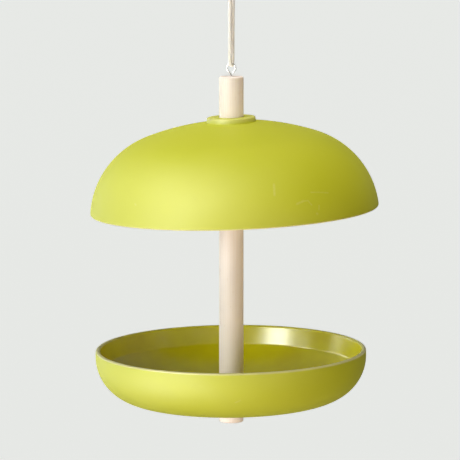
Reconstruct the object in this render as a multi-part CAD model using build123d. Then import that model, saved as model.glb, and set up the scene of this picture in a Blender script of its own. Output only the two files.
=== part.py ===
from build123d import *
import os
from math import asin, atan2, cos, degrees, hypot, pi, radians, sin, sqrt, tan

# Hanging bird feeder: a wooden post through a domed roof and a shallow seed bowl, hung on a knotted cord.
# Millimetres. The origin is the inside top of the cord's loop, where a hook bears. +Z is up, -Y the front.

# Post
POST_D = 20.0
POST_LENGTH = 285.0
POST_CHAMFER = 0.8
POST_EXPOSED = 33.0  # post standing above the roof's collar
POST_STUB = 12.2  # post standing below the bowl's hub

# Roof: a crown arc and a side arc, then a short skirt that leans in by the draft
ROOF_D = 235.0
ROOF_WALL = 4.0
ROOF_SKIRT = 1.0
ROOF_DRAFT = 7.0
ROOF_SIDE_R = 70.0
ROOF_CROWN_R = 214.0
ROOF_LEAN = 2.09  # the loose roof hangs a little askew, its right side up
COLLAR_D = 40.5
COLLAR_TOP_D = 39.4
COLLAR_RISE = 3.2  # collar's top above the crown
COLLAR_ROUND = 0.9

# Bowl: the same kind of shell, the other way up, with a straight wall and a tight corner inside
BOWL_D = 222.0
BOWL_WALL = 4.0
BOWL_SKIRT = 3.6
BOWL_SIDE_R = 36.5
BOWL_FLOOR_R = 467.0
BOWL_LEAN = 0.5
BOWL_INSIDE_WALL = 13.0  # straight wall inside, from the lip
BOWL_INSIDE_DRAFT = 13.0
BOWL_CORNER_R = 4.0
BOWL_CORNER_SLOPE = 48.0  # slope at which the corner runs out into the side arc

# Cross pins and the washers on them
PIN_D = 4.0
PIN_PROUD = 6.0  # pin standing out of the post at each end
PIN_ROUND = 0.5
WASHER_WIDTH = 6.0
WASHER_THICKNESS = 1.5
PAD_MARGIN = 2.0  # flat of each hub beyond the washer's edge
PAD_STEP = 0.4  # how far that flat stands off the shell

# Screw eye, bent from one wire
EYE_WIRE = 1.3
EYE_RING_R = 3.45  # middle of the wire
EYE_RISE = 6.8  # ring's centre above the post
EYE_NECK = 0.9  # bend's corner above the post
EYE_BEND_R = 1.5
EYE_TAIL = 0.56  # the wire's end, as a share of the way from the ring back to the neck
EYE_SHANK = 14.0  # length in the post
EYE_POINT = 2.0
THREAD_PITCH = 1.0
THREAD_DEPTH = 0.2

# Cord
CORD_D = 3.0
CORD_DROP = 59.0  # from the knot's underside to the ring's centre
CORD_SPREAD = 2.1  # between the strands' middles at the eye, seen from the front
CORD_SPREAD_TOP = 3.2  # the same at the knot
CORD_STRAIGHT = 18.0  # from the ring to where the strands start to draw together
CORD_FLAT = 0.04  # straight left between the two quarter turns round the wire
KNOT_D = 10.0
KNOT_HEIGHT = 9.0
KNOT_ROUND = 3.3
LOOP_HEIGHT = 36.0  # from the knot's top to the hook
HOOK_D = 12.0  # the rod that the loop goes over
LOOP_HALF = 9.25  # corner points of the loop's top, from the middle
TAIL_LENGTH = 11.0
TAIL_ANGLE = 62.0
CORD_SINK = 2.0  # cord ends drawn into the knot

# Clearances
BORE_CLEAR = 0.2  # each side of the post in a hub, beyond what the lean needs
WASHER_CLEAR = 0.3
SEAT_GAP = 0.1
PIN_CLEAR = 0.02
EYE_CLEAR = 0.05
CORD_CLEAR = 0.3

# Heights of the main pieces
KNOT_TOP = -LOOP_HEIGHT
KNOT_BOTTOM = KNOT_TOP - KNOT_HEIGHT
RING_Z = KNOT_BOTTOM - CORD_DROP
POST_TOP = RING_Z - EYE_RISE
POST_BOTTOM = POST_TOP - POST_LENGTH
COLLAR_TOP = POST_TOP - POST_EXPOSED
BOWL_SEAT = POST_BOTTOM + POST_STUB

WASHER_R = POST_D / 2 + WASHER_CLEAR + WASHER_WIDTH
PAD_R = WASHER_R + PAD_MARGIN


def shell_arcs(rim_r, skirt, draft, side_r, crown_r):
    """Turn of the crown arc in degrees, and the heights of its centre and its top above the skirt's end."""
    reach = rim_r - skirt * sin(radians(draft)) - side_r * cos(radians(draft))
    turn = asin(reach / (crown_r - side_r))
    side_z = skirt * cos(radians(draft)) - side_r * sin(radians(draft))
    crown_z = side_z - (crown_r - side_r) * cos(turn)
    return degrees(turn), crown_z, crown_z + crown_r


def shell_side(rim_r, skirt, draft, side_r, crown_r, inset=0.0):
    """Crown arc, side arc and skirt of a round shell, rim down, a distance inside its outer line."""
    turn, _, top = shell_arcs(rim_r, skirt, draft, side_r, crown_r)
    crown = JernArc((0, top - inset), (1, 0), crown_r - inset, -turn)
    side = JernArc(crown @ 1, crown % 1, side_r - inset, turn + draft - 90)
    return [crown, side, Line(side @ 1, side @ 1 + side % 1 * skirt)]


def dish_side(rim_r, depth, wall, draft, corner_r, slope, floor_r):
    """Floor arc, side arc, tight corner and straight wall inside a dish, rim down with its edge at height 0.
    The side arc is the one that touches both of its neighbours."""
    low = radians(slope)
    steep = radians(90 - draft)
    reach = rim_r - wall * cos(steep) - corner_r * (sin(steep) - sin(low))
    rest = floor_r - depth + wall * sin(steep) + corner_r * (cos(low) - cos(steep))
    side_r = (floor_r**2 - reach**2 - rest**2) / (2 * (floor_r - reach * sin(low) - rest * cos(low)))
    turn = degrees(atan2(reach - side_r * sin(low), rest - side_r * cos(low)))
    floor = JernArc((0, depth), (1, 0), floor_r, -turn)
    side = JernArc(floor @ 1, floor % 1, side_r, turn - slope)
    corner = JernArc(side @ 1, side % 1, corner_r, slope + draft - 90)
    return [floor, side, corner, Line(corner @ 1, (rim_r, 0))]


def shell_section(outer, inner):
    """Half the section of a shell between two sides, with a half-round lip past the outer one's end."""
    ends = outer[-1] @ 1, inner[-1] @ 1
    lip_end = (ends[0] + ends[1]) / 2 + outer[-1] % 1 * (ends[0] - ends[1]).length / 2
    lip = ThreePointArc(ends[0], lip_end, ends[1])
    return make_face([*outer, lip, *inner, Line(inner[0] @ 0, outer[0] @ 0)])


def band(radius, low, high):
    """Half the section of a cylinder about Z between two heights."""
    return Pos(radius / 2, (low + high) / 2) * Rectangle(radius, high - low)


def turned(section):
    """A half section, drawn with its height along Y, turned about Z."""
    return revolve(Plane.XZ * section, Axis.Z)


def hub_bore(length, lean):
    """Diameter that lets a hub of this length lean on the post."""
    return POST_D / cos(radians(lean)) + length * tan(radians(lean)) + 2 * BORE_CLEAR


def upright(radius, low, high):
    """A cylinder about Z between two heights."""
    return Pos(0, 0, (low + high) / 2) * Cylinder(radius, high - low)


def leaned(part, seat_z, hub, lean):
    """A part whose hub starts at its own height 0, leaned about the hub's middle, its right side up."""
    return Pos(hub / 2 * sin(radians(lean)), 0, seat_z) * Rot(0, -lean, 0) * part


def make_post():
    post = upright(POST_D / 2, POST_BOTTOM, POST_TOP)
    post = chamfer(post.edges().filter_by(GeomType.CIRCLE), POST_CHAMFER)
    for pin_z in (ROOF_PIN_Z, BOWL_PIN_Z):
        post -= Pos(0, 0, pin_z) * Rot(90, 0, 0) * Cylinder(PIN_D / 2 + PIN_CLEAR, 2 * POST_D)
    pilot_r = EYE_WIRE / 2 + EYE_CLEAR
    return post - upright(pilot_r, POST_TOP - EYE_SHANK - EYE_POINT - EYE_CLEAR, POST_TOP + POST_CHAMFER)


def make_roof():
    """The dome, its collar and a flat under the hub, which is at height 0 before it goes on the post."""
    arcs = (ROOF_D / 2, ROOF_SKIRT, ROOF_DRAFT, ROOF_SIDE_R, ROOF_CROWN_R)
    section = shell_section(shell_side(*arcs), shell_side(*arcs, ROOF_WALL))
    foot_r = COLLAR_D / 2
    foot_z = ROOF_CROWN_Z + sqrt((ROOF_CROWN_R - ROOF_WALL / 2) ** 2 - foot_r**2)
    collar_top = ROOF_APEX + COLLAR_RISE
    edge = (COLLAR_TOP_D / 2, collar_top)
    collar = make_face(Polyline((0, foot_z), (foot_r, foot_z), edge, (0, collar_top), close=True))
    section += fillet(collar.vertices().sort_by_distance(edge)[0], COLLAR_ROUND)
    section += band(PAD_R, ROOF_PAD_Z, ROOF_APEX)
    section -= band(hub_bore(ROOF_HUB, ROOF_LEAN) / 2, ROOF_PAD_Z - ROOF_WALL, collar_top + ROOF_WALL)
    return leaned(Pos(0, 0, -ROOF_PAD_Z) * turned(section), ROOF_SEAT, ROOF_HUB, ROOF_LEAN)


def make_bowl():
    """The bowl with a flat under its hub, which is at height 0 before it goes on the post."""
    outer = shell_side(BOWL_D / 2, BOWL_SKIRT, 0, BOWL_SIDE_R, BOWL_FLOOR_R)
    wall = (BOWL_INSIDE_WALL, BOWL_INSIDE_DRAFT, BOWL_CORNER_R, BOWL_CORNER_SLOPE)
    inner = dish_side(BOWL_D / 2 - BOWL_WALL, BOWL_APEX - BOWL_WALL, *wall, BOWL_FLOOR_R - BOWL_WALL)
    section = shell_section(outer, inner)
    pad_z = BOWL_APEX + PAD_STEP
    hub = BOWL_WALL + PAD_STEP
    section += band(PAD_R, BOWL_APEX - BOWL_WALL / 2, pad_z)
    section -= band(hub_bore(hub, BOWL_LEAN) / 2, BOWL_APEX - 2 * BOWL_WALL, pad_z + BOWL_WALL)
    bowl = Pos(0, 0, pad_z) * Rot(180, 0, 0) * turned(section)
    return leaned(bowl, BOWL_SEAT, hub, BOWL_LEAN)


def make_pin(pin_z):
    pin = Rot(90, 0, 0) * Cylinder(PIN_D / 2, POST_D + 2 * PIN_PROUD)
    return Pos(0, 0, pin_z) * fillet(pin.edges().filter_by(GeomType.CIRCLE), PIN_ROUND)


def make_washer(top_z):
    low = top_z - WASHER_THICKNESS
    hole_r = POST_D / 2 + WASHER_CLEAR
    return upright(WASHER_R, low, top_z) - upright(hole_r, low - WASHER_THICKNESS, top_z + WASHER_THICKNESS)


def make_screw_eye():
    """A wire from the post's top that bends aside, goes round the ring and ends short of its own neck."""
    wire_r = EYE_WIRE / 2
    neck = EYE_RISE - EYE_NECK
    tangent = asin(EYE_RING_R / neck)
    left = Vector(-EYE_RING_R * cos(tangent), -EYE_RING_R * sin(tangent))
    right = Vector(-left.X, left.Y)
    corner = Vector(0, -neck)
    stem = FilletPolyline((0, -EYE_RISE), corner, left, radius=EYE_BEND_R)
    ring = ThreePointArc(left, (0, EYE_RING_R), right)
    tail = Line(right, right + (corner - right) * EYE_TAIL)
    path = Plane.XZ * Wire([*stem.edges(), ring, tail])
    wire = Pos(0, 0, RING_Z) * sweep(Pos(0, 0, -EYE_RISE) * Circle(wire_r), path=path)

    teeth = [(0, 0), (wire_r, 0)]
    for turn in range(int(EYE_SHANK / THREAD_PITCH)):
        teeth.append((wire_r - THREAD_DEPTH, -(turn + 0.5) * THREAD_PITCH))
        teeth.append((wire_r, -(turn + 1) * THREAD_PITCH))
    teeth.append((0, teeth[-1][1] - EYE_POINT))
    shank = revolve(Plane.XZ * make_face(Polyline(*teeth, close=True)), Axis.Z)
    return wire + Pos(0, 0, POST_TOP) * shank


def widest_arc(before, corner, after):
    """Radius of the widest arc that leaves a little of both runs straight."""
    runs = [Vector(corner) - Vector(before), Vector(after) - Vector(corner)]
    half_turn = radians(runs[0].get_angle(runs[1]) / 2)
    return 0.45 * min(run.length for run in runs) / tan(half_turn)


def cord_tube(points, radii):
    """A cord along straight runs joined by tangent arcs."""
    path = FilletPolyline(*points, radius=radii)
    tube = sweep(Plane(path @ 0, z_dir=path % 0) * Circle(CORD_D / 2), path=path)
    section = pi * (CORD_D / 2) ** 2
    share = tube.volume / (section * path.length)
    arcs = [round(radius, 2) for radius in radii]
    print(f"cord {path.length:.1f} mm, arcs {arcs} mm, volume {share:.4f} of section by length")
    return tube


def make_hanging_cord():
    """One strand down, round the top of the eye's ring, and the other strand up."""
    ring_top = RING_Z + EYE_RING_R
    beside = EYE_WIRE / 2 + CORD_CLEAR + CORD_D / 2
    turn_r = hypot(beside, CORD_SPREAD / 2) - CORD_FLAT / 2
    low = ring_top - beside
    strand = [
        (CORD_SPREAD_TOP / 2, CORD_D / 10, KNOT_BOTTOM + CORD_SINK),
        (CORD_SPREAD / 2, beside, ring_top + CORD_STRAIGHT),
        (CORD_SPREAD / 2, beside, low),
    ]
    front = [(-x, -y, z) for x, y, z in strand]
    ease_r = widest_arc(*strand)
    return cord_tube(front + strand[::-1], [ease_r, turn_r, turn_r, ease_r])


def make_cord_loop():
    """The loop over the hook, whose two legs rise from the knot."""
    loop_r = (HOOK_D + CORD_D) / 2
    leg = [(CORD_SPREAD_TOP / 2, 0, KNOT_TOP - CORD_SINK), (LOOP_HALF, 0, CORD_D / 2)]
    left = [(-x, y, z) for x, y, z in leg]
    return cord_tube(left + leg[::-1], [loop_r, loop_r])


def make_cord_knot():
    """The outer shape of the knot, with the cord's two cut ends standing out of its sides."""
    middle = (KNOT_TOP + KNOT_BOTTOM) / 2
    ball = Cylinder(KNOT_D / 2, KNOT_HEIGHT)
    knot = Pos(0, 0, middle) * fillet(ball.edges().filter_by(GeomType.CIRCLE), KNOT_ROUND)
    for way in (1, -1):
        tail = upright(CORD_D / 2, 0, TAIL_LENGTH)
        knot += Pos(0, 0, middle) * Rot(way * TAIL_ANGLE, 0, 0) * tail
    return knot


_, ROOF_CROWN_Z, ROOF_APEX = shell_arcs(ROOF_D / 2, ROOF_SKIRT, ROOF_DRAFT, ROOF_SIDE_R, ROOF_CROWN_R)
_, _, BOWL_APEX = shell_arcs(BOWL_D / 2, BOWL_SKIRT, 0, BOWL_SIDE_R, BOWL_FLOOR_R)
ROOF_PAD_Z = ROOF_CROWN_Z + sqrt((ROOF_CROWN_R - ROOF_WALL) ** 2 - PAD_R**2) - PAD_STEP
ROOF_HUB = ROOF_APEX + COLLAR_RISE - ROOF_PAD_Z
ROOF_SEAT = COLLAR_TOP - ROOF_HUB * cos(radians(ROOF_LEAN))
ROOF_WASHER_TOP = ROOF_SEAT - WASHER_R * sin(radians(ROOF_LEAN)) - SEAT_GAP
BOWL_WASHER_TOP = BOWL_SEAT - WASHER_R * sin(radians(BOWL_LEAN)) - SEAT_GAP
ROOF_PIN_Z = ROOF_WASHER_TOP - WASHER_THICKNESS - SEAT_GAP - PIN_D / 2
BOWL_PIN_Z = BOWL_WASHER_TOP - WASHER_THICKNESS - SEAT_GAP - PIN_D / 2

nodes = {
    "post": make_post(),
    "roof": make_roof(),
    "bowl": make_bowl(),
    "roof_pin": make_pin(ROOF_PIN_Z),
    "bowl_pin": make_pin(BOWL_PIN_Z),
    "roof_washer": make_washer(ROOF_WASHER_TOP),
    "bowl_washer": make_washer(BOWL_WASHER_TOP),
    "screw_eye": make_screw_eye(),
    "hanging_cord": make_hanging_cord(),
    "cord_loop": make_cord_loop(),
    "cord_knot": make_cord_knot(),
}

os.makedirs("parts", exist_ok=True)
for name, part in nodes.items():
    export_step(part, f"parts/{name}.step")
print(f"ring {RING_Z:.2f}, post {POST_TOP:.2f} to {POST_BOTTOM:.2f}")
print(f"roof seat {ROOF_SEAT:.2f}, hub {ROOF_HUB:.2f}, bowl seat {BOWL_SEAT:.2f}")
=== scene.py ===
# A hanging bird feeder: a wooden post through a domed roof and a shallow seed bowl, on a cotton cord.
# Metres. The origin is the inside top of the cord's loop, +Z is up and -Y is the front.
from math import asin, atan2, cos, pi, radians, sin, sqrt, tan

import bpy
import numpy as np
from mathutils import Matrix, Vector


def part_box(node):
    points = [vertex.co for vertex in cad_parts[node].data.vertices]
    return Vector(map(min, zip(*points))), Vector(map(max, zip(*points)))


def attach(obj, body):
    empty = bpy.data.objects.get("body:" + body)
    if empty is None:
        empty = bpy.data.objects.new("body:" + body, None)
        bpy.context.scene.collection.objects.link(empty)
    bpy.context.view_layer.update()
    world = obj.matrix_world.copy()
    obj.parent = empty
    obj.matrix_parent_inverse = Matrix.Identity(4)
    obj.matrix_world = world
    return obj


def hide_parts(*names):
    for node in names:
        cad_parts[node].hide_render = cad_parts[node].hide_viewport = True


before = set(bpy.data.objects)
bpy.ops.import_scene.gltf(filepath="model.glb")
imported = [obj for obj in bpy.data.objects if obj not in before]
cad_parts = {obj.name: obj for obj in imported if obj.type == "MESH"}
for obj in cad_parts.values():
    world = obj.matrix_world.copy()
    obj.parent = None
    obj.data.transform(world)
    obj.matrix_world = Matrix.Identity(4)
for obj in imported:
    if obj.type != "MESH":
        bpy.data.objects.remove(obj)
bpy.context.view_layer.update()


# Post: a dowel of pale close-grained wood, sanded and left bare, with both ends sawn square.
# It carries roof, bowl and screw eye. The CAD node keeps its shape and gets the wood's grain.
def linear(code):
    """Linear RGBA of an sRGB hex colour."""
    srgb = np.array([int(code[i : i + 2], 16) for i in (1, 3, 5)]) / 255
    rgb = np.where(srgb <= 0.04045, srgb / 12.92, ((srgb + 0.055) / 1.055) ** 2.4)
    return (*rgb.tolist(), 1.0)


def feed(tree, node, inputs):
    """Links or sets a node's inputs by name or number. A MapRange node reads the range from 1 to 2
    and gives that from 3 to 4; a Mix node blends 2 and 3 for numbers, or 6 and 7 for colours."""
    for key, value in inputs.items():
        if isinstance(value, bpy.types.NodeSocket):
            tree.links.new(value, node.inputs[key])
        else:
            node.inputs[key].default_value = value


def add(tree, kind, inputs, output=0, **settings):
    """Adds one shader node with its settings and inputs, and gives one of its outputs."""
    node = tree.nodes.new("ShaderNode" + kind)
    for key, value in settings.items():
        setattr(node, key, value)
    feed(tree, node, inputs)
    return node.outputs[output]


def new_finish(name):
    """A material with its node tree, its surface shader and the object's own coordinates."""
    material = bpy.data.materials.new(name)
    material.use_nodes = True
    tree = material.node_tree
    return material, tree, tree.nodes["Principled BSDF"], add(tree, "TexCoord", {}, "Object")


def dress(node, finish):
    """Gives a CAD node one finish in place of its plain one."""
    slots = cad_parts[node].data.materials
    slots.clear()
    slots.append(finish)


# Bare sanded hardwood gives an almost even, matt cream with a little pink in it. The growth rings
# hardly show, and there are fine fibres along the post and a few short brown flecks.
PITH = (0.062, -0.035, 0.0)  # middle of the tree, outside the dowel
TAPER = (1.0, 1.0, 0.006)  # the rings run a little out of line with the post
RING = 0.0021  # width of a year's growth
DRIFT = (0.012, 0.012, 0.11)  # size of the rings' wander
WANDER = 1.4  # how far they wander, in widths of a ring
FIBRE = (0.00035, 0.00035, 0.012)  # bundle of fibres, drawn coarser than real so that it shows
FLECK = (0.0009, 0.0009, 0.006)  # across and along the post
FIBRE_RAISED = 0.00005
WOOD_EARLY = linear("#faeeea")
WOOD_LATE = linear("#f8e9e3")
WOOD_FIBRE = linear("#eedfd5")
WOOD_FLECK = linear("#c9a483")
wood, tree, shader, where = new_finish("sanded_pale_wood")
from_pith = add(tree, "VectorMath", {0: where, 1: PITH}, operation="SUBTRACT")
from_pith = add(tree, "VectorMath", {0: from_pith, 1: TAPER}, operation="MULTIPLY")
distance = add(tree, "VectorMath", {0: from_pith}, "Value", operation="LENGTH")
drift = add(tree, "VectorMath", {0: where, 1: DRIFT}, operation="DIVIDE")
drift = add(tree, "TexNoise", {"Vector": drift, "Scale": 1.0, "Detail": 2.0}, "Fac")
years = add(tree, "Math", {0: distance, 1: RING}, operation="DIVIDE")
years = add(tree, "Math", {0: drift, 1: WANDER, 2: years}, operation="MULTIPLY_ADD")
growth = add(tree, "Math", {0: years}, operation="FRACT")
late = add(tree, "MapRange", {0: growth, 1: 0.45, 2: 0.95})
fibre = add(tree, "VectorMath", {0: where, 1: FIBRE}, operation="DIVIDE")
fibre = add(tree, "TexNoise", {"Vector": fibre, "Scale": 1.0, "Detail": 3.0}, "Fac")
fleck = add(tree, "VectorMath", {0: where, 1: FLECK}, operation="DIVIDE")
fleck = add(tree, "TexNoise", {"Vector": fleck, "Scale": 1.0, "Detail": 2.0}, "Fac")
fleck = add(tree, "MapRange", {0: fleck, 1: 0.68, 2: 0.76, 4: 0.3})
fibre_share = add(tree, "MapRange", {0: fibre, 1: 0.3, 2: 0.75, 4: 0.3})
colour = add(tree, "Mix", {0: late, 6: WOOD_EARLY, 7: WOOD_LATE}, 2, data_type="RGBA")
colour = add(tree, "Mix", {0: fibre_share, 6: colour, 7: WOOD_FIBRE}, 2, data_type="RGBA")
colour = add(tree, "Mix", {0: fleck, 6: colour, 7: WOOD_FLECK}, 2, data_type="RGBA")
sanded = add(tree, "MapRange", {0: fibre, 1: 0.2, 2: 0.8, 3: 0.5, 4: 0.66})
raised = add(tree, "Bump", {"Strength": 1.0, "Distance": FIBRE_RAISED, "Height": fibre})
feed(tree, shader, {"Base Color": colour, "Roughness": sanded, "IOR": 1.5, "Normal": raised})
dress("post", wood)


# Cross pins and washers: zinc-plated steel. A pin is driven through the post under roof and bowl,
# and a washer lies loose on each for the hub to sit and turn on.
# Plating gives a cool grey metal, a little cloudy, with fine drawing lines along the pins.
SPANGLE = 0.0011  # size of a cloud in the plating
DRAWN = (0.00008, 0.003, 0.00008)  # lines along the pins, coarser than real so that they show
DRAWN_DEPTH = 0.00001
ZINC_DULL = linear("#a9adb0")
ZINC_BRIGHT = linear("#d3d5d4")
zinc, tree, shader, where = new_finish("zinc_plated_steel")
spangle = add(tree, "TexNoise", {"Vector": where, "Scale": 1 / SPANGLE, "Detail": 3.0}, "Fac")
drawn = add(tree, "VectorMath", {0: where, 1: DRAWN}, operation="DIVIDE")
drawn = add(tree, "TexNoise", {"Vector": drawn, "Scale": 1.0, "Detail": 2.0}, "Fac")
colour = add(tree, "Mix", {0: spangle, 6: ZINC_DULL, 7: ZINC_BRIGHT}, 2, data_type="RGBA")
rubbed = add(tree, "MapRange", {0: drawn, 1: 0.25, 2: 0.75, 3: 0.24, 4: 0.4})
raised = add(tree, "Bump", {"Strength": 1.0, "Distance": DRAWN_DEPTH, "Height": drawn})
feed(tree, shader, {"Base Color": colour, "Roughness": rubbed, "Metallic": 1.0, "Normal": raised})
for name in ("roof_pin", "bowl_pin", "roof_washer", "bowl_washer"):
    dress(name, zinc)


# Roof: one moulding of lime-green plant-fibre composite, satin outside and glossier inside, with a
# collar round the post. It sits loose on its washer, so it leans a little to the left.
POST_LOW, POST_HIGH = (float(corner[2]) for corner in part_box("post"))
POST_R = 0.010
PAD_R = 0.0183  # flat round the bore that lies on the washer
PAD_STEP = 0.0004  # how far the flat stands out of the shell
BORE_CLEAR = 0.0002
ROOF_R = 0.1175
ROOF_WALL = 0.004
ROOF_SKIRT = 0.001
ROOF_DRAFT = radians(7)
ROOF_SIDE_R = 0.070
ROOF_CROWN_R = 0.214
ROOF_LEAN = radians(2.09)
ROOF_BELOW_TOP = 0.033  # collar's top below the post's
COLLAR_R = 0.02025
COLLAR_TOP_R = 0.0197
COLLAR_RISE = 0.0032
COLLAR_ROUND = 0.0009
COLLAR_STEPS = 7  # points round the collar's edge
COLLAR_PAINTED_HIGHLIGHT = 0.06  # the collar's edge is a little paler: a painted highlight, as on the lip
ARC_STEPS = 60  # points along each arc of a shell
LIP_STEPS = 14
TURN_STEPS = 256
CREASE = radians(32)  # sharper edges than this stay sharp
LIME = linear("#b3b711")
LIME_PALE = linear("#c6c348")
# The inside colours are lighter than the outside's: painted light that lifts the shaded insides.
LIME_INSIDE_LIT = linear("#d0c903")
LIME_DEEP_LIT = linear("#c5bb02")
# the lip's pale colour is a painted highlight
LIP_PAINTED_HIGHLIGHT = linear("#efeab8")
SCUFF_PALE = linear("#d6d09a")
FLOW = 0.03  # size of the soft clouds in the colour
SPECK = 0.0006  # fibre specks, drawn coarser than real so that they show
PEEL = 0.0025  # waves in the skin
PEEL_DEPTH = 0.00002
BANDS = (0.04, 0.04, 0.0014)  # faint lines round the inside, left by the turned mould
BAND_DEPTH = 0.00002
LIP_MIDDLE = 0.4  # share of the way over the lip where the painted highlight is strongest
LIP_HIGHLIGHT_SHARE = 0.6
LIP_ROUGH, INNER_LIP_ROUGH = 0.34, 0.24
MARK_CORE = 0.2  # share of a mark's width that has its full strength
SCUFFS = (  # two ends and half the width of each mark left by handling
    ((0.0333, -0.1017, -0.1858), (0.0337, -0.1062, -0.1935), 0.0014),
    ((0.0513, -0.1030, -0.2010), (0.0565, -0.0997, -0.1991), 0.0013),
    ((0.0565, -0.0997, -0.1991), (0.0601, -0.0977, -0.1991), 0.0008),
    ((0.0601, -0.0977, -0.1991), (0.0630, -0.0974, -0.2026), 0.0008),
    ((0.0625, -0.0931, -0.1931), (0.0761, -0.0840, -0.1947), 0.0008),
    ((0.0688, -0.0939, -0.2035), (0.0688, -0.0950, -0.2065), 0.0008),
    ((0.0669, -0.0971, -0.2095), (0.0677, -0.0966, -0.2096), 0.0012),
    ((-0.0760, -0.0826, -0.2038), (-0.0752, -0.0837, -0.2045), 0.0010),
    ((0.0033, -0.1059, -0.3586), (0.0068, -0.1067, -0.3568), 0.0011),
)


def shell_arcs(rim, skirt, draft, side, crown):
    """Two arcs that touch, the side one running straight on into the skirt: the side arc's middle
    (radius, height), the turn where the arcs meet, and the height of the crown arc's middle."""
    reach = rim - skirt * sin(draft) - side * cos(draft)
    turn = asin(reach / (crown - side))
    side_z = skirt * cos(draft) - side * sin(draft)
    return reach, side_z, turn, side_z - (crown - side) * cos(turn)


def shell_line(rim, skirt, draft, side, crown, inset, start):
    """Radius and height along a shell from a starting radius: crown arc, side arc, then the straight
    skirt. Inset is how far the line lies inside the shell's outer one."""
    reach, side_z, turn, crown_z = shell_arcs(rim, skirt, draft, side, crown)
    top = np.linspace(asin(start / (crown - inset)), turn, ARC_STEPS)
    bend = np.linspace(turn, pi / 2 - draft, ARC_STEPS)[1:]
    crown, side = crown - inset, side - inset
    radius = np.concatenate([crown * np.sin(top), reach + side * np.sin(bend)])
    height = np.concatenate([crown_z + crown * np.cos(top), side_z + side * np.cos(bend)])
    radius = np.append(radius, radius[-1] + skirt * sin(draft))
    height = np.append(height, height[-1] - skirt * cos(draft))
    return radius, height


def walled(outer, inner, draft):
    """Outline of a shell along its outer line, round a half-circle lip and back along its inner one;
    with 1 for each point that is inside, 0 outside and shares between them over the lip."""
    middle = [(outer[axis][-1] + inner[axis][-1]) / 2 for axis in (0, 1)]
    half = np.hypot(outer[0][-1] - inner[0][-1], outer[1][-1] - inner[1][-1]) / 2
    lip = np.linspace(0, pi, LIP_STEPS)[1:-1]
    radius = np.concatenate([outer[0], middle[0] + half * np.cos(lip - draft), inner[0][::-1]])
    height = np.concatenate([outer[1], middle[1] - half * np.sin(lip + draft), inner[1][::-1]])
    over_lip = np.linspace(0, 1, len(lip))
    inside = np.concatenate([np.zeros(len(outer[0])), over_lip, np.ones(len(inner[0]))])
    return radius, height, inside


def piece_of(name, points, quads, *finishes):
    """A smooth object from arrays of points and four-sided faces, with creases kept sharp."""
    mesh = bpy.data.meshes.new(name)
    mesh.from_pydata(points, [], quads)
    mesh.shade_smooth()
    mesh.set_sharp_from_angle(angle=CREASE)
    for finish in finishes:
        mesh.materials.append(finish)
    piece = bpy.data.objects.new(name, mesh)
    bpy.context.scene.collection.objects.link(piece)
    return piece


def turned(name, radius, height, inside, lean, place):
    """A closed outline of radius and height carried round Z in equal steps, then leaned about Y with
    its right side up and moved to its place. The outline's inside shares become the point attribute
    inside, and faces that are all inside get the glossy finish."""
    turn = np.linspace(0, 2 * pi, TURN_STEPS, endpoint=False)
    x = np.outer(radius, np.cos(turn))
    y = np.outer(radius, np.sin(turn))
    z = np.outer(height, np.ones_like(turn))
    across, up = x * cos(lean) - z * sin(lean), x * sin(lean) + z * cos(lean)
    points = np.stack([across, y, up], axis=-1) + place
    index = np.arange(points.shape[0] * points.shape[1]).reshape(points.shape[:2])
    after = np.roll(index, -1, axis=1)
    quads = np.stack([index, np.roll(index, -1, axis=0), np.roll(after, -1, axis=0), after], axis=-1)
    piece = piece_of(name, points.reshape(-1, 3), quads.reshape(-1, 4), satin_lime, glossy_lime)
    skin = inside[quads // len(turn)].min(axis=-1) == 1
    piece.data.polygons.foreach_set("material_index", skin.astype(np.int32).ravel())
    shares = np.repeat(inside, len(turn)).astype(np.float32)
    piece.data.attributes.new("inside", "FLOAT", "POINT").data.foreach_set("value", shares)
    return piece


# Plant fibre in a melamine-like resin gives a strong yellow green, soft and satin outside. Fibre
# specks show faintly and a few scuffs are paler. The lip and the collar's edge carry a painted
# highlight.
satin_lime, tree, shader, where = new_finish("satin_lime_composite")
inner_side = add(tree, "Attribute", {}, "Fac", attribute_name="inside")
cloud = add(tree, "TexNoise", {"Vector": where, "Scale": 1 / FLOW, "Detail": 3.0}, "Fac")
speck = add(tree, "TexNoise", {"Vector": where, "Scale": 1 / SPECK, "Detail": 2.0}, "Fac")
peel = add(tree, "TexNoise", {"Vector": where, "Scale": 1 / PEEL, "Detail": 2.0}, "Fac")
from_middle = add(tree, "Math", {0: inner_side, 1: LIP_MIDDLE}, operation="SUBTRACT")
from_middle = add(tree, "Math", {0: from_middle}, operation="ABSOLUTE")
lip = add(tree, "MapRange", {0: from_middle, 1: 0.25, 2: 0.4, 3: 1.0, 4: 0.0})
scuffed = 0.0
for start, end, half in SCUFFS:
    run = Vector(end) - Vector(start)
    out = add(tree, "VectorMath", {0: where, 1: start}, operation="SUBTRACT")
    per_run = run / run.length_squared
    share = add(tree, "VectorMath", {0: out, 1: per_run}, "Value", operation="DOT_PRODUCT")
    share = add(tree, "Clamp", {0: share})
    nearest = add(tree, "VectorMath", {0: run, "Scale": share}, operation="SCALE")
    away = add(tree, "VectorMath", {0: out, 1: nearest}, "Value", operation="DISTANCE")
    mark = add(tree, "MapRange", {0: away, 1: MARK_CORE * half, 2: half, 3: 1.0, 4: 0.0})
    scuffed = add(tree, "Math", {0: scuffed, 1: mark}, operation="MAXIMUM")
scuff_grain = add(tree, "MapRange", {0: speck, 1: 0.3, 2: 0.7, 3: 0.05, 4: 0.24})
scuffed = add(tree, "Math", {0: scuffed, 1: scuff_grain}, operation="MULTIPLY")
cloud_share = add(tree, "MapRange", {0: cloud, 1: 0.35, 2: 0.65, 4: 0.08})
speck_share = add(tree, "MapRange", {0: speck, 1: 0.6, 2: 0.75, 4: 0.16})
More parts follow.
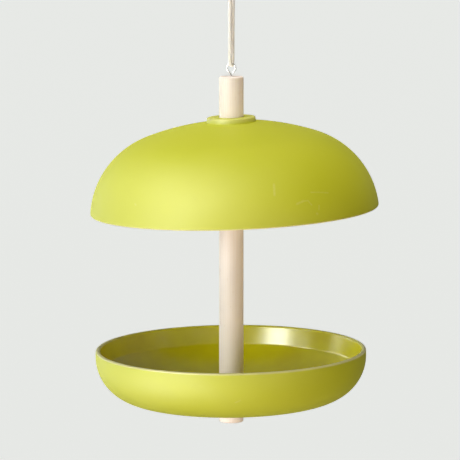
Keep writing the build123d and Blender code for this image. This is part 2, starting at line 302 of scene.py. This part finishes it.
# painted highlight along the lip and the collar's edge
lip_highlight_share = add(tree, "Math", {0: lip, 1: LIP_HIGHLIGHT_SHARE}, operation="MULTIPLY")
colour = add(tree, "Mix", {0: cloud_share, 6: LIME, 7: LIME_PALE}, 2, data_type="RGBA")
colour = add(tree, "Mix", {0: speck_share, 6: colour, 7: LIME_PALE}, 2, data_type="RGBA")
colour = add(tree, "Mix", {0: scuffed, 6: colour, 7: SCUFF_PALE}, 2, data_type="RGBA")
colour = add(tree, "Mix", {0: inner_side, 6: colour, 7: LIME_INSIDE_LIT}, 2, data_type="RGBA")
colour = add(tree, "Mix", {0: lip_highlight_share, 6: colour, 7: LIP_PAINTED_HIGHLIGHT}, 2, data_type="RGBA")
satin = add(tree, "MapRange", {0: cloud, 1: 0.3, 2: 0.7, 3: 0.58, 4: 0.66})
sheen = add(tree, "Mix", {0: inner_side, 2: satin, 3: INNER_LIP_ROUGH})
sheen = add(tree, "Mix", {0: lip, 2: sheen, 3: LIP_ROUGH})
raised = add(tree, "Bump", {"Strength": 1.0, "Distance": PEEL_DEPTH, "Height": peel})
feed(tree, shader, {"Base Color": colour, "Roughness": sheen, "IOR": 1.6, "Normal": raised})

# Inside, the polished half of the mould leaves a closed skin that mirrors the windows, with faint
# lines round it. Its colours are set lighter than the outside's, as painted light in the shaded
# inside.
glossy_lime, tree, shader, where = new_finish("glossy_lime_composite")
cloud = add(tree, "TexNoise", {"Vector": where, "Scale": 1 / FLOW, "Detail": 3.0}, "Fac")
bands = add(tree, "VectorMath", {0: where, 1: BANDS}, operation="DIVIDE")
bands = add(tree, "TexNoise", {"Vector": bands, "Scale": 1.0, "Detail": 2.0}, "Fac")
cloud_share = add(tree, "MapRange", {0: cloud, 1: 0.35, 2: 0.65})
colour = add(tree, "Mix", {0: cloud_share, 6: LIME_INSIDE_LIT, 7: LIME_DEEP_LIT}, 2, data_type="RGBA")
gloss = add(tree, "MapRange", {0: bands, 1: 0.3, 2: 0.7, 3: 0.19, 4: 0.26})
raised = add(tree, "Bump", {"Strength": 1.0, "Distance": BAND_DEPTH, "Height": bands})
feed(tree, shader, {"Base Color": colour, "Roughness": gloss, "IOR": 1.75, "Normal": raised})

arcs = (ROOF_R, ROOF_SKIRT, ROOF_DRAFT, ROOF_SIDE_R, ROOF_CROWN_R)
crown_z = shell_arcs(*arcs)[-1]
apex = crown_z + ROOF_CROWN_R
pad_z = crown_z + sqrt((ROOF_CROWN_R - ROOF_WALL) ** 2 - PAD_R**2) - PAD_STEP
collar_z = apex + COLLAR_RISE
hub = collar_z - pad_z
bore = POST_R / cos(ROOF_LEAN) + hub / 2 * tan(ROOF_LEAN) + BORE_CLEAR
wall = walled(shell_line(*arcs, 0.0, COLLAR_R), shell_line(*arcs, ROOF_WALL, PAD_R), ROOF_DRAFT)
edge = np.linspace(pi / 2, 0, COLLAR_STEPS)
collar_r = COLLAR_TOP_R - COLLAR_ROUND + COLLAR_ROUND * np.cos(edge)
collar_h = collar_z - COLLAR_ROUND + COLLAR_ROUND * np.sin(edge)
radius = np.concatenate([[bore, bore], collar_r, wall[0], [PAD_R]])
height = np.concatenate([[pad_z, collar_z], collar_h, wall[1], [pad_z]])
# the collar's edge gets a little of the lip's painted highlight
inside = np.concatenate([[1, 0], np.full(COLLAR_STEPS, COLLAR_PAINTED_HIGHLIGHT), wall[2], [1]])
hub_foot = POST_HIGH - ROOF_BELOW_TOP - hub * cos(ROOF_LEAN)
seat = Vector((hub / 2 * sin(ROOF_LEAN), 0, hub_foot))
roof = turned("roof_moulding", radius, height - pad_z, inside, ROOF_LEAN, seat)
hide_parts("roof")
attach(roof, "roof")


# Bowl: a shallow moulding of the same composite with a rounded lip and a hole for the post in its
# floor. It sits loose on its own washer near the post's foot.
BOWL_R = 0.111
BOWL_WALL = 0.004
BOWL_SKIRT = 0.0036
BOWL_SIDE_R = 0.0365
BOWL_FLOOR_R = 0.467
BOWL_LEAN = radians(0.5)
BOWL_INSIDE_DRAFT = radians(13)
BOWL_INSIDE_WALL = 0.0130  # straight wall inside, from the lip
BOWL_CORNER_R = 0.004
BOWL_CORNER_SLOPE = radians(48)  # where the corner runs out into the side
POST_STUB = 0.0122  # how far the post goes on below the bowl
SIDE_STEPS = 50


def dish_line(rim, depth, wall, draft, corner, slope, floor, start):
    """Radius and height inside a dish, drawn rim down, from a starting radius: floor arc, side arc,
    tight corner, then a straight wall that leans in by the draft. The side arc is the one that
    touches both of its neighbours."""
    steep = pi / 2 - draft
    reach = rim - wall * cos(steep) - corner * (sin(steep) - sin(slope))
    drop = depth - wall * sin(steep) - corner * (cos(slope) - cos(steep))
    rest = floor - drop
    spare = floor - reach * sin(slope) - rest * cos(slope)
    side = (floor**2 - reach**2 - rest**2) / (2 * spare)
    turn = atan2(reach - side * sin(slope), rest - side * cos(slope))
    base = np.linspace(asin(start / floor), turn, ARC_STEPS)
    bend = np.linspace(turn, slope, SIDE_STEPS)[1:]
    tight = np.linspace(slope, steep, LIP_STEPS)[1:]
    side_r, side_z = (floor - side) * sin(turn), (floor - side) * cos(turn)
    radius = np.concatenate([floor * np.sin(base), side_r + side * np.sin(bend)])
    height = np.concatenate([floor * np.cos(base), side_z + side * np.cos(bend)]) - floor + depth
    radius = np.concatenate([radius, radius[-1] + corner * (np.sin(tight) - sin(slope)), [rim]])
    height = np.concatenate([height, height[-1] + corner * (np.cos(tight) - cos(slope)), [0.0]])
    return radius, height


arcs = (BOWL_R, BOWL_SKIRT, 0, BOWL_SIDE_R, BOWL_FLOOR_R)
apex = shell_arcs(*arcs)[-1] + BOWL_FLOOR_R
pad_z = apex + PAD_STEP
hub = BOWL_WALL + PAD_STEP
bore = POST_R / cos(BOWL_LEAN) + hub / 2 * tan(BOWL_LEAN) + BORE_CLEAR
wall_and_corner = (BOWL_INSIDE_WALL, BOWL_INSIDE_DRAFT, BOWL_CORNER_R, BOWL_CORNER_SLOPE)
rim, depth, floor_r = (size - BOWL_WALL for size in (BOWL_R, apex, BOWL_FLOOR_R))
inner = dish_line(rim, depth, *wall_and_corner, floor_r, bore)
wall = walled(shell_line(*arcs, 0.0, PAD_R), inner, 0)
radius = np.concatenate([[bore, PAD_R], wall[0]])
height = pad_z - np.concatenate([[pad_z, pad_z], wall[1]])
inside = np.concatenate([[0, 0], wall[2]])
seat = Vector((hub / 2 * sin(BOWL_LEAN), 0, POST_LOW + POST_STUB))
bowl = turned("bowl_moulding", radius[::-1], height[::-1], inside[::-1], BOWL_LEAN, seat)
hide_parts("bowl")
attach(bowl, "bowl")


# Screw eye: bright plated wire bent into an open ring, screwed into the post's top.
# The CAD node keeps its shape and gets the plating.
# Bright plating gives an almost white mirror, a little softened along the wire by drawing.
WIRE_LINES = (0.0002, 0.0002, 0.0015)  # drawing lines, coarser than real so that they show
WIRE_DULL = linear("#dedcd7")
WIRE_BRIGHT = linear("#f4f2ee")
plated, tree, shader, where = new_finish("bright_plated_wire")
drawn = add(tree, "VectorMath", {0: where, 1: WIRE_LINES}, operation="DIVIDE")
drawn = add(tree, "TexNoise", {"Vector": drawn, "Scale": 1.0, "Detail": 2.0}, "Fac")
colour = add(tree, "Mix", {0: drawn, 6: WIRE_DULL, 7: WIRE_BRIGHT}, 2, data_type="RGBA")
rubbed = add(tree, "MapRange", {0: drawn, 1: 0.3, 2: 0.7, 3: 0.2, 4: 0.32})
feed(tree, shader, {"Base Color": colour, "Roughness": rubbed, "Metallic": 1.0})
dress("screw_eye", plated)


# Cord: off-white braided cotton, 3 mm thick. It goes through the eye, both strands rise to a knot,
# and above the knot the same cord makes the loop that goes over a hook.
CORD_D = 0.003
CARRIERS = 8  # strands of the braid each way
BRAID_TURN = 0.012  # length in which a strand goes once round
BRAID_DEPTH = 0.00016
RIDGE = 0.6  # power that rounds a strand's back
UNDER = 0.6  # height of a strand where it passes under, as a share of one on top
CORD_STEP, CORD_SIDES = 0.00014, 64  # the tube's grid
CUT_ROUND = 0.0006  # rounding of a cut end's edge
PINCH = 0.5  # thickness lost where the wire presses into the cord
PINCH_REACH = 0.0045  # how far along the cord that spreads
ROUTE_STEPS = 64
HANGING_ACROSS = (2.45, -1.05, 0.0)  # square to the plane of the doubled cord
LOOP_ACROSS = (0.0, 1.0, 0.0)
HANGING_ROUTE = (
    (-0.00142, -0.00040, -0.04300),
    (-0.00105, -0.00200, -0.08255),
    (-0.00115, -0.00235, -0.10245),
    (0.00115, 0.00235, -0.10245),
    (0.00105, 0.00200, -0.08255),
    (0.00142, 0.00040, -0.04300),
)
LOOP_ROUTE = (
    (-0.00160, 0.0, -0.03800),
    (-0.00925, 0.0, 0.00150),
    (0.00925, 0.0, 0.00150),
    (0.00160, 0.0, -0.03800),
)


def soft_line(route):
    """Points along the smooth spline that a limp cord follows through its route."""
    curve = bpy.data.curves.new("route", "CURVE")
    curve.dimensions = "3D"
    curve.resolution_u = ROUTE_STEPS
    spline = curve.splines.new("NURBS")
    spline.points.add(len(route) - 1)
    spline.points.foreach_set("co", np.column_stack([route, np.ones(len(route))]).ravel())
    spline.order_u = 3
    spline.use_endpoint_u = True
    holder = bpy.data.objects.new("route", curve)
    line = bpy.data.meshes.new_from_object(holder)
    points = np.empty(len(line.vertices) * 3)
    line.vertices.foreach_get("co", points)
    bpy.data.objects.remove(holder)
    bpy.data.curves.remove(curve)
    bpy.data.meshes.remove(line)
    return points.reshape(-1, 3)


def even_steps(line, step):
    """The same line with its points spaced evenly, about one step apart."""
    along = np.append(0, np.cumsum(np.linalg.norm(np.diff(line, axis=0), axis=1)))
    wanted = np.linspace(0, along[-1], int(along[-1] / step) + 1)
    return np.stack([np.interp(wanted, along, line[:, axis]) for axis in range(3)], axis=1), wanted


def braid(line, across, name, material, pinch=0.0):
    """A tube round a line. Strands wind both ways at equal spacing, each a rounded ridge that passes
    over and under the strands it crosses by turns; the tube's radius rises with the upper strand's
    height. Both ends are cut square, with an edge that rounds off as a quarter circle does. A pinch
    flattens it at the middle of its length, towards the inside of the bend, and widens it by a third
    as much; it fades along the cord as a bell curve does. The hollows between strands become the
    point attribute hollow."""
    line, along = even_steps(line, CORD_STEP)
    turn = np.linspace(0, 2 * pi, CORD_SIDES, endpoint=False)
    ahead = np.gradient(line, axis=0)
    ahead /= np.linalg.norm(ahead, axis=1)[:, None]
    side = np.cross(ahead, across)
    side /= np.linalg.norm(side, axis=1)[:, None]
    up = np.cross(side, ahead)
    wound = 2 * pi * along[:, None] / BRAID_TURN
    left = CARRIERS * (turn + wound) / (2 * pi)
    right = CARRIERS * (turn - wound) / (2 * pi)
    ridge_left = np.abs(np.sin(pi * left)) ** RIDGE
    ridge_right = np.abs(np.sin(pi * right)) ** RIDGE
    left_over = np.maximum(ridge_left, UNDER * ridge_right)
    right_over = np.maximum(ridge_right, UNDER * ridge_left)
    height = np.where((np.floor(left) + np.floor(right)) % 2 == 0, left_over, right_over)
    to_end = np.minimum(along, along[-1] - along) / CUT_ROUND
    rounded = 1 - np.sqrt(1 - (1 - np.clip(to_end, 0, 1)) ** 2)
    draw_in = 1 - 2 * CUT_ROUND / CORD_D * rounded
    reach = (CORD_D / 2 - BRAID_DEPTH * (1 - height)) * draw_in[:, None]
    squeeze = (pinch * np.exp(-(((along - along[-1] / 2) / PINCH_REACH) ** 2)))[:, None]
    inward = (1 - squeeze) * np.cos(turn)
    sideways = (1 + squeeze / 3) * np.sin(turn)
    section = inward[..., None] * side[:, None] + sideways[..., None] * up[:, None]
    points = line[:, None] + reach[..., None] * section
    index = np.arange(reach.size).reshape(reach.shape)
    after = np.roll(index, -1, axis=1)
    around = np.stack([index[:-1], index[1:], after[1:], after[:-1]], axis=-1).reshape(-1, 4)
    first = np.arange(CORD_SIDES // 2 - 1)
    last = CORD_SIDES - 1 - first
    cut = np.stack([first, first + 1, last - 1, last], axis=-1)
    quads = np.concatenate([around, cut, index[-1, 0] + cut[:, ::-1]])
    piece = piece_of(name, points.reshape(-1, 3), quads, material)
    hollow = (1 - height).astype(np.float32).ravel()
    piece.data.attributes.new("hollow", "FLOAT", "POINT").data.foreach_set("value", hollow)
    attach(piece, "hanger")
    return piece, along[-1]


# Bleached cotton yarn gives a matt warm white and a little lint. The hollows between the strands
# are painted a grey-cream shade.
LINT = (0.00018, 0.00018, 0.0009)  # a stray fibre, drawn coarser than real so that it shows
LINT_RAISED = 0.00005
SOIL = (0.006, 0.006, 0.012)  # size of a faintly soiled patch
LIGHT_REACH = 0.004  # how far light spreads in the yarn
COTTON = linear("#f6f3f2")
COTTON_HOLLOW_SHADE = linear("#e2dbd5")
COTTON_LINT = linear("#e8e2dc")
COTTON_SOIL = linear("#e2d8ca")
cotton, tree, shader, where = new_finish("braided_cotton")
hollow = add(tree, "Attribute", {}, "Fac", attribute_name="hollow")
lint = add(tree, "VectorMath", {0: where, 1: LINT}, operation="DIVIDE")
lint = add(tree, "TexNoise", {"Vector": lint, "Scale": 1.0, "Detail": 3.0}, "Fac")
soil = add(tree, "VectorMath", {0: where, 1: SOIL}, operation="DIVIDE")
soil = add(tree, "TexNoise", {"Vector": soil, "Scale": 1.0, "Detail": 2.0}, "Fac")
# painted shade in the hollows between the strands
hollow_shade_share = add(tree, "MapRange", {0: hollow, 1: 0.15, 2: 0.9, 4: 0.5})
lint_share = add(tree, "MapRange", {0: lint, 1: 0.35, 2: 0.7, 4: 0.3})
soil_share = add(tree, "MapRange", {0: soil, 1: 0.45, 2: 0.75, 4: 0.25})
colour = add(tree, "Mix", {0: hollow_shade_share, 6: COTTON, 7: COTTON_HOLLOW_SHADE}, 2, data_type="RGBA")
colour = add(tree, "Mix", {0: lint_share, 6: colour, 7: COTTON_LINT}, 2, data_type="RGBA")
colour = add(tree, "Mix", {0: soil_share, 6: colour, 7: COTTON_SOIL}, 2, data_type="RGBA")
raised = add(tree, "Bump", {"Strength": 1.0, "Distance": LINT_RAISED, "Height": lint})
feed(tree, shader, {"Base Color": colour, "Roughness": 0.9, "Sheen Weight": 0.3, "Normal": raised})
feed(tree, shader, {"Subsurface Weight": 0.8, "Subsurface Scale": LIGHT_REACH})
feed(tree, shader, {"Subsurface Radius": (1.0, 0.95, 0.9)})

hanging_line, loop_line = soft_line(HANGING_ROUTE), soft_line(LOOP_ROUTE)
hanging, hanging_length = braid(hanging_line, HANGING_ACROSS, "hanging_cord_braid", cotton, PINCH)
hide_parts("hanging_cord")
loop, loop_length = braid(loop_line, LOOP_ACROSS, "cord_loop_braid", cotton)
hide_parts("cord_loop")


# Knot: the cord's two ends taken round the four strands and drawn tight, each left with a short cut
# tail. It is the same cotton, so it carries the same braid.
KNOT_TOP, KNOT_LOW = -0.036, -0.045
WRAPS = 3
WRAP_X, WRAP_Y = 0.0034, 0.0030  # from the knot's middle to the cord's, at its ends
WRAP_INSET = 0.4 * CORD_D  # from the knot's end to the middle of its first wrap
WRAP_STEPS = 260
KNOT_SWELL = 0.0008
TAIL = (0.0010, 0.0085, 0.0030)  # how far a tail goes in, out to the side and up
TAIL_STEPS = 60


def knot_tail(end, way):
    """Points from a wrap's end: straight out to one side, with the inward and upward drift growing
    as the square."""
    share = np.linspace(0, 1, TAIL_STEPS)[1:]
    return end + np.stack([TAIL[0] * share**2, way * TAIL[1] * share, TAIL[2] * share**2], axis=1)


wraps = np.linspace(-pi, (2 * WRAPS - 1) * pi, WRAP_STEPS)
share = np.linspace(0, 1, WRAP_STEPS)
swell = KNOT_SWELL * np.sin(pi * share)
rise = KNOT_LOW + WRAP_INSET + (KNOT_TOP - KNOT_LOW - 2 * WRAP_INSET) * share
across, back = (WRAP_X + swell) * np.cos(wraps), (WRAP_Y + swell) * np.sin(wraps)
wound = np.stack([across, back, rise], axis=1)
knot_line = np.concatenate([knot_tail(wound[0], 1)[::-1], wound, knot_tail(wound[-1], -1)])
knot = braid(knot_line, (0.0, 0.0, 1.0), "cord_knot_braid", cotton)[0]
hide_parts("cord_knot")


# Stage: a wide floor of pale paper far below the hanging feeder, which fills the picture behind it.
# To the camera it is evenly pale, with the light and shadow that fall on it added. Shiny surfaces
# see it dimmer.
FLOOR_Z = -4.0
FLOOR_HALF = 80.0
PAPER = linear("#d8dbd6")
PAPER_SEEN = linear("#f2f4f1")
PAPER_MIRRORED = linear("#e9ece8")
SEEN_GLOW, MIRRORED_GLOW = 0.86, 0.3
paper, tree, shader, _ = new_finish("pale_backdrop_paper")
feed(tree, shader, {"Base Color": PAPER, "Roughness": 0.9})
seen = add(tree, "LightPath", {}, "Is Camera Ray")
mirrored = add(tree, "LightPath", {}, "Is Glossy Ray")
pale = add(tree, "Emission", {"Color": PAPER_SEEN, "Strength": SEEN_GLOW})
pale = add(tree, "AddShader", {0: pale, 1: shader.outputs[0]})
dusk = add(tree, "Emission", {"Color": PAPER_MIRRORED, "Strength": MIRRORED_GLOW})
shown = add(tree, "MixShader", {0: mirrored, 1: shader.outputs[0], 2: dusk})
shown = add(tree, "MixShader", {0: seen, 1: shown, 2: pale})
feed(tree, tree.nodes["Material Output"], {"Surface": shown})
around = ((-1, -1), (1, -1), (1, 1), (-1, 1))
corners = [(x * FLOOR_HALF, y * FLOOR_HALF, FLOOR_Z) for x, y in around]
floor = piece_of("floor", corners, [(0, 1, 2, 3)], paper)


# Light: a bright window at the front left with its paler edge, and strips that mark the sides.
# A core in the window and two wide sheets light only gloss, for the white reflection and the sheen.
# The front box and the fills light only matt colour, so that they leave no marks on the green.
LAMP_OFF = 1.8
FEEDER_MIDDLE = Vector((0, 0, -0.26))


def window(name, toward, size, power, code="#ffffff", lights="all"):
    """An area light that faces the feeder's middle, from a number of degrees left of the front and
    above level."""
    light = bpy.data.lights.new(name, "AREA")
    light.shape = "RECTANGLE"
    light.size, light.size_y = size
    light.energy = power
    light.color = linear(code)[:3]
    lamp = bpy.data.objects.new(name, light)
    left, above = (radians(angle) for angle in toward)
    away = Vector((-sin(left) * cos(above), -cos(left) * cos(above), sin(above)))
    lamp.location = FEEDER_MIDDLE + away * LAMP_OFF
    lamp.rotation_euler = (-away).to_track_quat("-Z", "Y").to_euler()
    lamp.visible_glossy = lights != "matt"
    lamp.visible_diffuse = lights != "gloss"
    bpy.context.scene.collection.objects.link(lamp)


window("key_window", (45, 13), (1.05, 0.45), 6.6, "#f8fff4")
window("key_fade", (71, 13), (0.5, 0.5), 1.4)
window("key_core", (45, 10), (0.62, 0.8), 15.0, lights="gloss")
window("front_box", (58, 5), (1.0, 0.7), 6.6, "#f8fff4", "matt")
window("left_strip", (115, 0), (0.45, 2.0), 7.4)
window("back_strip", (134, 0), (0.3, 1.6), 6.5)
window("right_strip", (-67, 0), (0.3, 1.0), 0.3)
window("sheen_high", (52, 44), (2.2, 1.0), 52.0, lights="gloss")
window("sheen_low", (56, -27), (2.2, 1.0), 54.0, lights="gloss")
window("front_fill", (44, 26), (0.8, 0.8), 6.0, "#fbfff8", "matt")
window("back_fill", (180, 3), (0.8, 0.8), 6.4, lights="matt")
window("right_back_fill", (-135, 5), (0.8, 0.8), 2.4, "#fff3e4", "matt")
window("low_left_fill", (60, -30), (0.8, 0.8), 5.5, lights="matt")
window("low_fill", (20, -42), (0.8, 0.8), 14.0, "#ffeedc", "matt")
window("low_right_fill", (-64, -26), (0.8, 0.8), 1.6, "#ffe6c8", "matt")
window("right_fill", (-24, -4), (0.8, 0.8), 12.2, "#ffeddd", "matt")
window("right_top", (-30, 66), (0.8, 0.8), 4.4, "#fffaf0", "matt")
window("top_fill", (0, 89), (0.5, 0.5), 21.5, "#fff8e8", "matt")

# The room around them is dim, brighter in reflections, and as pale as the floor to the camera.
ROOM, ROOM_MIRRORED, ROOM_SEEN = 0.025, 0.28, 0.88
world = bpy.data.worlds.new("dim_room")
bpy.context.scene.world = world
world.use_nodes = True
tree = world.node_tree
seen = add(tree, "LightPath", {}, "Is Camera Ray")
mirrored = add(tree, "LightPath", {}, "Is Glossy Ray")
strength = add(tree, "Math", {0: mirrored, 1: ROOM_MIRRORED, 2: ROOM}, operation="MULTIPLY_ADD")
strength = add(tree, "Mix", {0: seen, 2: strength, 3: ROOM_SEEN})
feed(tree, tree.nodes["Background"], {"Color": PAPER_SEEN, "Strength": strength})


# Camera: 2.5 m off with a long lens, a little higher than the loop.
# It looks down by about 8 degrees, at the post between roof and bowl.
CAMERA_AT = Vector((-0.00106, -2.5189, 0.1333))
CAMERA_AIM = Vector((-0.00106, 0.0, -0.2367))
CAMERA_ANGLE = radians(8.435)
camera = bpy.data.objects.new("camera", bpy.data.cameras.new("camera"))
camera.data.sensor_fit = "HORIZONTAL"
camera.data.angle = CAMERA_ANGLE
camera.location = CAMERA_AT
camera.rotation_euler = (CAMERA_AIM - CAMERA_AT).to_track_quat("-Z", "Y").to_euler()
bpy.context.scene.collection.objects.link(camera)
bpy.context.scene.camera = camera
bpy.context.scene.view_settings.view_transform = "Standard"
